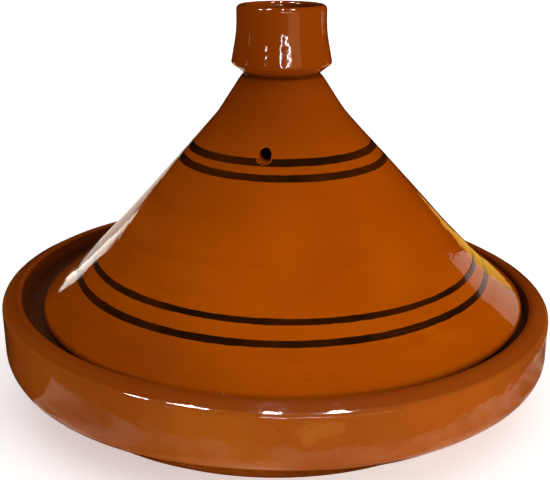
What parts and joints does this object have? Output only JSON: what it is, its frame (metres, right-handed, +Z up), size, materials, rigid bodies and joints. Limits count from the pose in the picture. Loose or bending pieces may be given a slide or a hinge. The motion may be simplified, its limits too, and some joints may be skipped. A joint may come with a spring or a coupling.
{
  "type": "tagine pot",
  "caption": "Shallow round glazed earthenware dish with a tall hollow conical lid that drips steam back onto the food, lifted by a cup-shaped knob.",
  "frame": {"origin": "centre of the dish's flat foot, on the surface the pot stands on", "axes": "+Z up along the dish's axis; -Y towards the side of the lid with the steam hole; the lid rests a few mm off-centre, towards +X and +Y"},
  "size_m": [0.33, 0.33, 0.2276],
  "materials": {
    "dish_glaze": "glossy",
    "lid_glaze": "glossy",
    "dark_slip": "glossy"
  },
  "bodies": {
    "dish": {"dish": "dish_glaze"},
    "lid": {"lid_cone": "lid_glaze", "lid_knob": "lid_glaze", "slip_band_top": "dark_slip", "slip_band_second": "dark_slip", "slip_band_third": "dark_slip", "slip_band_bottom": "dark_slip"}
  },
  "joints": [
    {"name": "lid_lift", "type": "slide", "parent": "dish", "child": "lid", "axis": [0, 0, 1], "range_m": [0, 0.2]}
  ]
}
